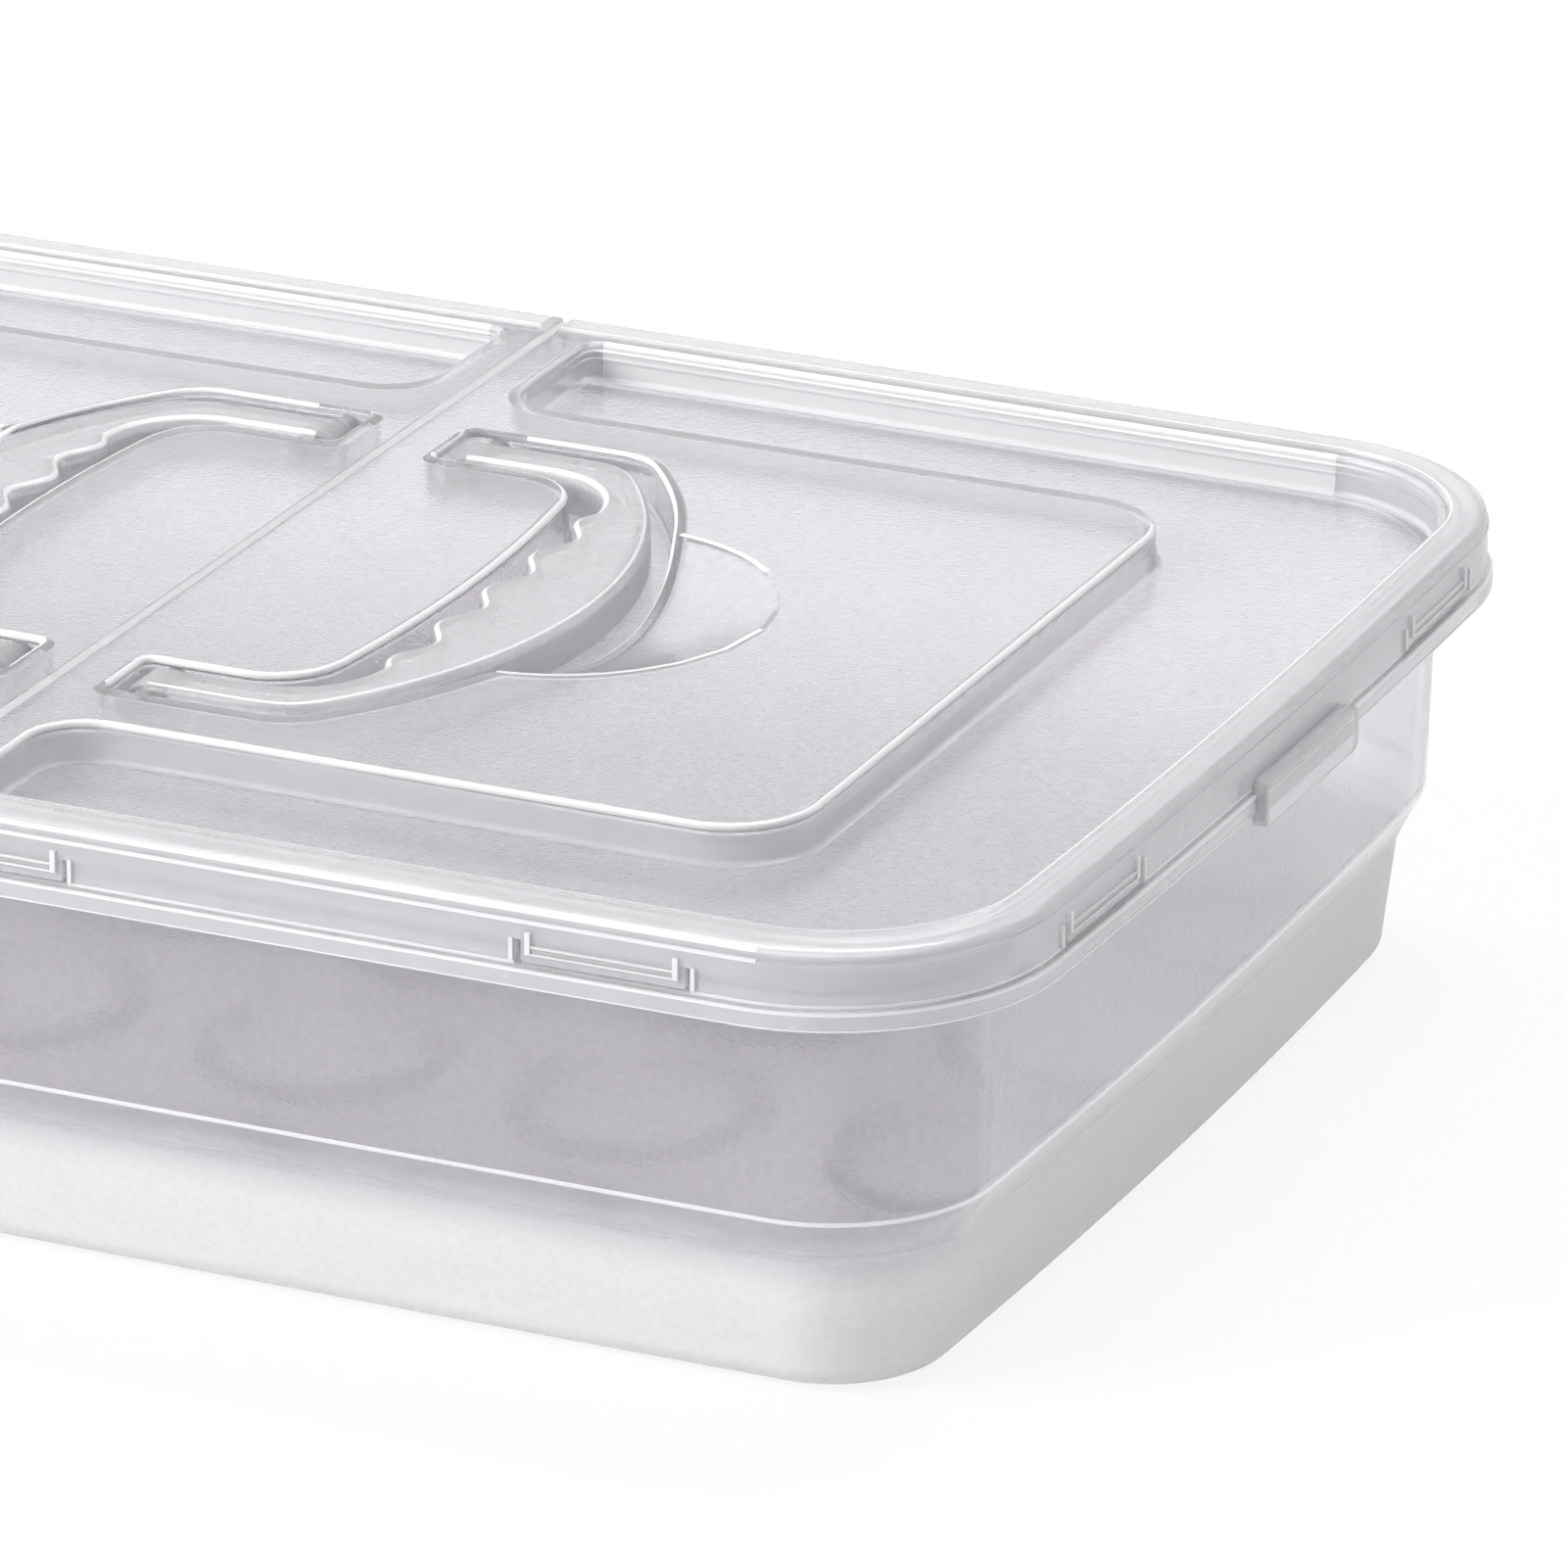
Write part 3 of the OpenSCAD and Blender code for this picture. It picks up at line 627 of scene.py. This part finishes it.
def clip_ribs(shell):
    """The rib with turned-up ends above each clip's slot, and a raised bar beside each slit. All are real
    raised shapes; the rib's outer bars, its turned-up ends and the slit bars are painted with the highlight
    material as light lines.
    """
    spots = [(on_side(s), middle) for s in (-1, 1) for middle in CLIP_XS]
    spots += [(on_end, -CLIP_Y), (on_end, CLIP_Y)]
    for place, middle in spots:
        reach = half_clip - 1.8
        low, lower, upper, high = CLIP_RIB_ZS
        bar(shell, place, middle - reach, middle + reach, low, lower, 0.45)
        bar(shell, place, middle - reach, middle + reach, lower, upper, 0.6, 1)
        bar(shell, place, middle - reach, middle + reach, upper, high, 0.45)
        for s in (-1, 1):
            end = middle + s * (reach + 0.1)
            bar(shell, place, end - 0.4, end + 0.4, low, TURN_UP_Z, 0.4)
            slit = middle + s * (half_clip + 0.9)
            bar(shell, place, slit - 0.3, slit + 0.3, *SLIT_HIGHLIGHT_ZS, 0.5)


BEAD_END = 2.6
BEAD_STEPS = 24
BEAD_START, BEAD_SWEEP = 154, 232


def bead_shell():
    """The bead of the hinge, flat along its top."""
    shell = Shell()
    reach = WIDTH / 2 - BEAD_END
    rows = []
    for y in (-reach, -reach + 0.2, reach - 0.2, reach):
        inset = 0.15 if abs(y) == reach else 0.0
        ring = []
        for k in range(BEAD_STEPS + 1):
            a = math.radians(BEAD_START + BEAD_SWEEP * k / BEAD_STEPS)
            ring.append(((BEAD_R - inset) * math.cos(a), y, HINGE_Z + (BEAD_R - inset) * math.sin(a)))
        rows.append(shell.row(ring))
    for a, b in zip(rows, rows[1:]):
        shell.strip(a, b, closed=True)
    shell.face(rows[0])
    shell.face(rows[-1][::-1])
    return shell


# Handles
def wave_x(y):
    """The wavy inner edge of the grip."""
    return GRIP_X - WAVE_H / 2 * math.cos(2 * math.pi * y / WAVE_L)


ARM_IN = HANDLE_Y - ARM_W
WAVE_REACH = ARM_IN - INNER_R
TURN_CX = wave_x(WAVE_REACH) - INNER_R
ARM_STEPS, TURN_STEPS, WAVE_STEPS = 8, 18, 60


def to_outer(t):
    """Distance from the middle of the corner to the outer edge, along angle t."""
    far = TURN_CX - HANDLE_CX
    run = far * math.cos(t) + WAVE_REACH * math.sin(t)
    reach = -run + math.sqrt(run * run - far * far - WAVE_REACH ** 2 + HANDLE_R ** 2)
    flat = (HANDLE_Y - WAVE_REACH) / max(math.sin(t), 0.001)
    return (reach ** -12 + flat ** -12) ** (-1 / 12)


def handle_stations():
    """Inner and outer points along the handle, from one pivot to the other."""
    half = []
    for i in range(ARM_STEPS):
        x = PIVOT_X + (TURN_CX - PIVOT_X) * i / ARM_STEPS
        half.append(((x, ARM_IN), (x, HANDLE_Y)))
    for i in range(TURN_STEPS + 1):
        t = math.radians(90 - 90 * i / TURN_STEPS)
        c, s = math.cos(t), math.sin(t)
        q = to_outer(t)
        inner = (TURN_CX + INNER_R * c, WAVE_REACH + INNER_R * s)
        half.append((inner, (TURN_CX + q * c, WAVE_REACH + q * s)))
    for i in range(1, WAVE_STEPS + 1):
        y = WAVE_REACH * (1 - i / WAVE_STEPS)
        half.append(((wave_x(y), y), (HANDLE_CX + math.sqrt(HANDLE_R ** 2 - y * y), y)))
    return half + [((a[0], -a[1]), (b[0], -b[1])) for a, b in reversed(half[:-1])]


def handle_shell():
    """The right handle: an open-backed grip with its arms, barrels and pins."""
    shell = Shell()
    low, t, wall = PIVOT_Z - HANDLE_T / 2, HANDLE_T, 2.0
    rows = []
    for a, b in handle_stations():
        a, b = np.array(a), np.array(b)
        w = np.linalg.norm(b - a)
        d = (b - a) / w
        edge = [(w - 0.5, 0), (w - 0.12, 0.14), (w, 0.5), (w - 0.05, t - 1.6)]
        edge += [(w - 1.5 + 1.45 * math.cos(q), t - 1.5 + 1.5 * math.sin(q))
                 for q in np.radians([20, 40, 60, 78, 90])]
        half = edge + [(0.75 * w, t)]
        left = [(w - x, z) for x, z in reversed(half)]
        inner = [(wall, 0), (wall + 0.15, t - wall - 0.9)]
        inner += [(wall + 0.4, t - wall - 0.3), (wall + 1, t - wall)]
        section = half + left + inner + [(w - x, z) for x, z in reversed(inner)]
        rows.append(shell.row([(a[0] + d[0] * x, a[1] + d[1] * x, low + z) for x, z in section]))
    # Painted highlight along the handle's top edges: these columns of its section take the highlight
    # material.
    painted_highlit = (6, 12, 13)
    for a, b in zip(rows, rows[1:]):
        shell.strip(a, b, closed=True, columns=painted_highlit)
    shell.fill([rows[0]], axes=(1, 2))
    shell.fill([rows[-1]], axes=(1, 2))
    for s in (-1, 1):
        y0, y1 = sorted((s * (ARM_IN + 0.5), s * (HANDLE_Y - 0.5)))
        rod(shell, PIVOT_X, PIVOT_Z, y0, y1, HANDLE_T / 2, 0.5)
        y0, y1 = sorted((s * (ARM_IN - 3.5), s * (HANDLE_Y + 5)))
        rod(shell, PIVOT_X, PIVOT_Z, y0, y1, PIN_D / 2)
    return shell


# Tub and tray
FOOT_IN, FOOT_R = 15.4, 4
STEP_IN = 13.2
LEDGE_IN = 9.4
WALL_IN = 8.2
FLOOR_T, FLOOR_IN = 2.2, 2
OUTER_ROWS = 20
LEDGE_HIGHLIGHT_ZS = (28.2, 28.8)


def tub_shell():
    """The tub as one closed skin, from the middle of its base round to the middle of its floor."""
    shell = Shell()
    section = []
    for k in range(8):
        a = math.pi / 2 * k / 7
        section.append((FOOT_IN + FOOT_R * (1 - math.sin(a)), FOOT_R * (1 - math.cos(a))))
    section += [
        (STEP_IN + 0.5, 18), (STEP_IN + 0.2, 20.1), (STEP_IN, 20.9), (STEP_IN - 0.4, 21.6),
        (LEDGE_IN + 0.7, 27.3), (LEDGE_IN + 0.2, 28.1), (LEDGE_IN - 0.05, 28.9), (LEDGE_IN - 0.1, 29.6),
        (WALL_IN, 62.0),
        (WALL_IN - 0.15, 62.5), (WALL_IN - 0.5, 62.8), (WALL_IN - 1.0, 62.9),
        (3.3, 62.9), (3.12, 63.0), (3.1, 63.2),
        (3.1, 70.7), (3.2, 70.95), (3.4, 71.0),
        (3.95, 71.0), (4.15, 70.9), (4.2, 70.6), (4.2, 65.2), (4.4, 64.9),
        (WALL_IN + 1.5, 64.9), (WALL_IN + 1.9, 64.7), (WALL_IN + 2.0, 64.2),
        (LEDGE_IN + 2.0, 29.2), (LEDGE_IN + 2.1, 28.2), (LEDGE_IN + 2.5, 27.3),
        (STEP_IN + 1.6, 21.6), (STEP_IN + 2.1, 20.7), (STEP_IN + 2.3, 19.8),
        (FOOT_IN + 2.0, 4.4)
    ]
    for k in range(1, 7):
        a = math.pi / 2 * k / 6
        inset = FOOT_IN + FLOOR_IN + FLOOR_IN * (1 - math.cos(a))
        section.append((inset, FLOOR_T + FLOOR_T * (1 - math.sin(a))))
    rows = [shell.row(at_height(full_outline(d), z)) for d, z in section]
    for k, (a, b) in enumerate(zip(rows, rows[1:])):
        height = (section[k][1] + section[k + 1][1]) / 2
        # Painted highlight line along the rounded top of the ledge, on the outside only.
        on_painted_line = k < OUTER_ROWS and LEDGE_HIGHLIGHT_ZS[0] < height < LEDGE_HIGHLIGHT_ZS[1]
        shell.strip(a, b, closed=True, kind=2 if on_painted_line else 0)
    shell.fill([rows[0]], kind=1)
    shell.fill([rows[-1]], kind=1)
    return shell


SEAT_PITCH_X, SEAT_PITCH_Y = 51.7, 49.8
SEATS = [((i - 2.5) * SEAT_PITCH_X, (j - 1.5) * SEAT_PITCH_Y) for i in range(6) for j in range(4)]
SEAT_SIDES = 40
# Each seat from its foot over its rim and down to its dish, as radius and height above the plate.
SEAT_RING = [
    (19.25, 0), (19.2, 0.15), (19.15, 0.8), (19.1, 2.7), (18.9, 3.2), (18.5, 3.4),
    (18.0, 3.25), (17.2, 2.4), (16.0, 1.2), (14.8, 0.35), (13.4, 0.02)
]


def tray_shell():
    """The tray: a thin plate with a raised ring and a dished seat for each egg."""
    shell = Shell()
    z0, z1 = TRAY_LOW, TRAY_TOP
    rows = [shell.row(at_height(full_outline(TRAY_EDGE + d), z)) for d, z in
            ((0.15, z0), (0.0, z0 + 0.15), (0.0, z1 - 0.15), (0.15, z1))]
    for a, b in zip(rows, rows[1:]):
        shell.strip(a, b, closed=True)
    shell.fill([rows[0]])
    holes = []
    turns = [2 * math.pi * k / SEAT_SIDES for k in range(SEAT_SIDES)]
    for x, y in SEATS:
        circles = [shell.row([(x + r * math.cos(t), y + r * math.sin(t), z1 + rise) for t in turns])
                   for r, rise in SEAT_RING]
        for a, b in zip(circles, circles[1:]):
            shell.strip(a, b, closed=True)
        shell.fill([circles[-1]])
        holes.append(circles[0])
    shell.fill([rows[-1]] + holes)
    return shell


# Materials
PLASTIC_IOR = 1.46
CLOUD_SIZE = 0.035
GRAIN_DEPTH = 0.00008
FROST_ABOVE, FROST_BELOW = 0.005, 0.006


def plastic(name, colour, roughness, transmission, grain, grain_size=0.0006, mottle=None, frost=None):
    """A translucent plastic with a fine moulded grain and soft cloudiness, sizes in metres.

    mottle is the size and amount of its specks, and frost is (height, colour, roughness, transmission)
    for what lies below that height.
    """
    material = bpy.data.materials.new(name)
    material.use_nodes = True
    nodes, links = material.node_tree.nodes, material.node_tree.links
    shader = nodes["Principled BSDF"]
    shader.inputs["IOR"].default_value = PLASTIC_IOR
    shader.inputs["Base Color"].default_value = (*colour, 1)
    coords = nodes.new("ShaderNodeTexCoord")

    def noise(size, detail):
        """A noise with spots of about the given size."""
        node = nodes.new("ShaderNodeTexNoise")
        node.inputs["Scale"].default_value = 1 / size
        node.inputs["Detail"].default_value = detail
        links.new(coords.outputs["Object"], node.inputs["Vector"])
        return node

    def span(source, low, high, to_low, to_high):
        """A value moved from one range to another."""
        node = nodes.new("ShaderNodeMapRange")
        node.inputs["From Min"].default_value = low
        node.inputs["From Max"].default_value = high
        node.inputs["To Min"].default_value = to_low
        node.inputs["To Max"].default_value = to_high
        links.new(source, node.inputs["Value"])
        return node

    cloud = noise(CLOUD_SIZE, 3.0)
    fine = noise(grain_size, 2.0)
    rough = span(cloud.outputs["Fac"], 0.35, 0.65, roughness * 0.8, roughness * 1.25)
    tint = nodes.new("ShaderNodeMix")
    tint.data_type = "RGBA"
    tint.inputs["A"].default_value = (*[c * 0.975 for c in colour], 1)
    tint.inputs["B"].default_value = (*colour, 1)
    links.new(cloud.outputs["Fac"], tint.inputs["Factor"])
    colour_out, rough_out = tint.outputs["Result"], rough.outputs["Result"]
    clear_out = None
    if frost:
        level, frost_colour, frost_rough, frost_clear = frost
        split = nodes.new("ShaderNodeSeparateXYZ")
        links.new(coords.outputs["Object"], split.inputs["Vector"])
        band = span(split.outputs["Z"], level - FROST_BELOW, level + FROST_ABOVE, 1.0, 0.0)
        frosted = nodes.new("ShaderNodeMix")
        frosted.data_type = "RGBA"
        frosted.inputs["B"].default_value = (*frost_colour, 1)
        links.new(band.outputs["Result"], frosted.inputs["Factor"])
        links.new(colour_out, frosted.inputs["A"])
        rougher = nodes.new("ShaderNodeMix")
        rougher.inputs["B"].default_value = frost_rough
        links.new(band.outputs["Result"], rougher.inputs["Factor"])
        links.new(rough_out, rougher.inputs["A"])
        clearer = span(band.outputs["Result"], 0.0, 1.0, transmission, frost_clear)
        colour_out, rough_out = frosted.outputs["Result"], rougher.outputs["Result"]
        clear_out = clearer.outputs["Result"]
    if mottle:
        size, amount = mottle
        specks = noise(size, 4.0)
        sharp = span(specks.outputs["Fac"], 0.38, 0.62, 1.0 - amount, 1.0)
        speckled = nodes.new("ShaderNodeVectorMath")
        speckled.operation = "SCALE"
        links.new(colour_out, speckled.inputs[0])
        links.new(sharp.outputs["Result"], speckled.inputs["Scale"])
        colour_out = speckled.outputs["Vector"]
    links.new(colour_out, shader.inputs["Base Color"])
    links.new(rough_out, shader.inputs["Roughness"])
    if clear_out:
        links.new(clear_out, shader.inputs["Transmission Weight"])
    else:
        shader.inputs["Transmission Weight"].default_value = transmission
    bump = nodes.new("ShaderNodeBump")
    bump.inputs["Strength"].default_value = grain
    bump.inputs["Distance"].default_value = GRAIN_DEPTH
    links.new(fine.outputs["Fac"], bump.inputs["Height"])
    links.new(bump.outputs["Normal"], shader.inputs["Normal"])
    return material


LID = plastic("lid_clear", (0.98, 0.966, 0.994),
              roughness=0.13, transmission=0.88, grain=0.5, mottle=(0.0013, 0.09))
RIM = plastic("lid_rim_milky", (0.965, 0.96, 0.978),
              roughness=0.18, transmission=0.7, grain=0.2, mottle=(0.004, 0.03))
# Painted highlight: a whiter, less clear plastic laid on edges and lines in place of the light they catch.
HIGHLIGHT_PAINT = plastic("painted_highlight_edge", (0.95, 0.95, 0.96),
               roughness=0.2, transmission=0.3, grain=0.1)
GRIP = plastic("handle_clear", (0.95, 0.94, 0.96),
               roughness=0.3, transmission=0.74, grain=0.8, grain_size=0.0008, mottle=(0.0011, 0.1))
TUB = plastic("tub_frosted", (0.975, 0.955, 0.988),
              roughness=0.10, transmission=0.9, grain=0.2, mottle=(0.0011, 0.06),
              frost=(0.0215, (0.975, 0.975, 0.98), 0.45, 0.4))
TRAY = plastic("tray_frosted", (0.99, 0.982, 0.995),
               roughness=0.4, transmission=0.8, grain=0.3, mottle=(0.002, 0.03))

# Pieces
flap = flap_shell()
tab = Shell()
pull_tab(tab)
flap.add(tab.verts, tab.faces, 1)
clip_ribs(flap)
flap.build("right_flap_skin", (LID, RIM, HIGHLIGHT_PAINT), "right_half", "right_flap", "lid_plastic")
flap.mirrored().build("left_flap_skin", (LID, RIM, HIGHLIGHT_PAINT), "left_half", "left_flap", "lid_plastic")
handle = handle_shell()
grip_looks = (GRIP, GRIP, HIGHLIGHT_PAINT)
handle.build("right_handle_skin", grip_looks, "right_grip", "right_handle", "handle_plastic")
handle.mirrored().build("left_handle_skin", grip_looks, "left_grip", "left_handle", "handle_plastic")
tub_shell().build("tub_skin", (TUB, TRAY, HIGHLIGHT_PAINT), "base", "tub", "tub_plastic")
tray_shell().build("tray_skin", (TRAY,), "base", "egg_tray", "tray_plastic")

bead_shell().build("hinge_bead", (RIM,), "lid", "hinge_strip", "lid_plastic")


# Floor, light and camera
def clear_rays(nodes, links, camera_share):
    """One for a reflected or transmitted ray, a share of it for a camera ray and nothing for the rest."""
    path = nodes.new("ShaderNodeLightPath")
    share = nodes.new("ShaderNodeMath")
    share.operation = "MULTIPLY"
    share.inputs[1].default_value = camera_share
    links.new(path.outputs["Is Camera Ray"], share.inputs[0])
    out = share.outputs[0]
    for other in ("Is Transmission Ray", "Is Glossy Ray"):
        either = nodes.new("ShaderNodeMath")
        either.operation = "MAXIMUM"
        links.new(out, either.inputs[0])
        links.new(path.outputs[other], either.inputs[1])
        out = either.outputs[0]
    return out


FLOOR_HALF = 6.0
FLOOR_DROP = 0.0004
FLOOR_CAMERA_SHARE = 0.86


def floor():
    """The pale floor, which keeps the shadow and looks near white to the camera."""
    mesh = bpy.data.meshes.new("floor")
    s = FLOOR_HALF
    mesh.from_pydata([(-s, -s, 0), (s, -s, 0), (s, s, 0), (-s, s, 0)], [], [(0, 1, 2, 3)])
    obj = bpy.data.objects.new("floor", mesh)
    bpy.context.scene.collection.objects.link(obj)
    obj.location.z = -FLOOR_DROP
    material = bpy.data.materials.new("pale_floor")
    material.use_nodes = True
    nodes, links = material.node_tree.nodes, material.node_tree.links
    shader = nodes["Principled BSDF"]
    shader.inputs["Base Color"].default_value = (0.93, 0.93, 0.935, 1)
    shader.inputs["Roughness"].default_value = 0.7
    shader.inputs["Specular IOR Level"].default_value = 0.1
    glow = nodes.new("ShaderNodeEmission")
    glow.inputs["Color"].default_value = (1, 1, 1, 1)
    glow.inputs["Strength"].default_value = 1.0
    mix = nodes.new("ShaderNodeMixShader")
    links.new(clear_rays(nodes, links, FLOOR_CAMERA_SHARE), mix.inputs[0])
    links.new(shader.outputs[0], mix.inputs[1])
    links.new(glow.outputs[0], mix.inputs[2])
    links.new(mix.outputs[0], nodes["Material Output"].inputs["Surface"])
    mesh.materials.append(material)


def world():
    """A soft pale light all round, and plain white where the camera sees past the floor."""
    studio = bpy.data.worlds.new("studio")
    bpy.context.scene.world = studio
    studio.use_nodes = True
    nodes, links = studio.node_tree.nodes, studio.node_tree.links
    soft = nodes["Background"]
    soft.inputs["Color"].default_value = (0.97, 0.97, 1.0, 1)
    soft.inputs["Strength"].default_value = 0.52
    white = nodes.new("ShaderNodeBackground")
    white.inputs["Color"].default_value = (1, 1, 1, 1)
    white.inputs["Strength"].default_value = 1.0
    mix = nodes.new("ShaderNodeMixShader")
    links.new(clear_rays(nodes, links, 1.0), mix.inputs[0])
    links.new(soft.outputs[0], mix.inputs[1])
    links.new(white.outputs[0], mix.inputs[2])
    links.new(mix.outputs[0], nodes["World Output"].inputs["Surface"])


def area(name, at, aim, size, power):
    """A rectangular lamp at a place, turned towards another, in metres and watts."""
    data = bpy.data.lights.new(name, "AREA")
    data.shape = "RECTANGLE"
    data.size, data.size_y = size
    data.energy = power
    obj = bpy.data.objects.new(name, data)
    bpy.context.scene.collection.objects.link(obj)
    obj.location = at
    obj.rotation_euler = (Vector(aim) - Vector(at)).to_track_quat("-Z", "Y").to_euler()


SENSOR_W = 36.0
IMAGE_W = 1601
FOCAL_LENGTH = 11500.0
CAMERA_AT = (0.7369, -1.41508, 0.66446)
CAMERA_DOWN, CAMERA_TURN = 21.581, 24.575


def camera():
    """The camera that was fitted to the photo: a focal length in pixels, a place, and angles in degrees."""
    data = bpy.data.cameras.new("camera")
    data.sensor_fit = "HORIZONTAL"
    data.sensor_width = SENSOR_W
    data.lens = FOCAL_LENGTH / IMAGE_W * SENSOR_W
    data.clip_end = 50
    obj = bpy.data.objects.new("camera", data)
    bpy.context.scene.collection.objects.link(obj)
    obj.location = CAMERA_AT
    obj.rotation_euler = (math.radians(90 - CAMERA_DOWN), 0, math.radians(CAMERA_TURN))
    bpy.context.scene.camera = obj


floor()
world()
area("key_left", (-1.3, -1.2, 1.1), (0.02, 0.0, 0.04), (1.0, 1.0), 38.0)
area("top_strip", (0.0, 0.4, 1.5), (0.05, 0.0, 0.05), (1.3, 0.12), 14.0)
camera()
bpy.context.scene.view_settings.view_transform = "Standard"
